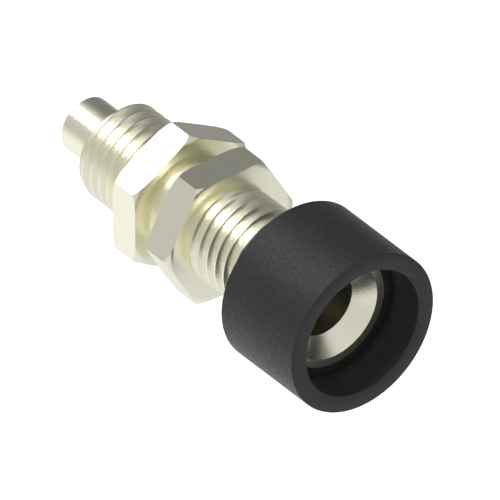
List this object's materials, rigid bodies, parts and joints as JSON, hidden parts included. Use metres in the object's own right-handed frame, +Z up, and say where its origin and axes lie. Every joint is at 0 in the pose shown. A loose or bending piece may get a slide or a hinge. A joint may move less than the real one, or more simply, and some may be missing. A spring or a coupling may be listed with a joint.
{
  "type": "banana socket",
  "caption": "Panel-mounted banana socket: a threaded metal contact with a blind plug bore and a solder pin, in a round insulating head, with hexagon nuts.",
  "frame": {"origin": "on the socket's axis, at the rear face of the insulating head, which seats on the panel", "axes": "+Y along the axis from the panel seat towards the solder pin, so the plug enters at the -Y end and +Z is up"},
  "size_m": [0.01, 0.0252, 0.01],
  "materials": {
    "nickel_plated_brass": "satin nickel plate over turned brass",
    "black_plastic": "fine-grained matte moulding"
  },
  "bodies": {
    "socket": {"contact_barrel": "nickel_plated_brass", "insulating_head": "black_plastic"},
    "front_nut": {"front_nut": "nickel_plated_brass"},
    "rear_nut": {"rear_nut": "nickel_plated_brass"}
  },
  "joints": [
    {"name": "front_nut_travel", "type": "slide", "parent": "socket", "child": "front_nut", "axis": [0, 1, 0], "range_m": [-0.00525, 0.00075]},
    {"name": "rear_nut_travel", "type": "slide", "parent": "socket", "child": "rear_nut", "axis": [0, 1, 0], "range_m": [-0.00075, 0.00375]}
  ]
}
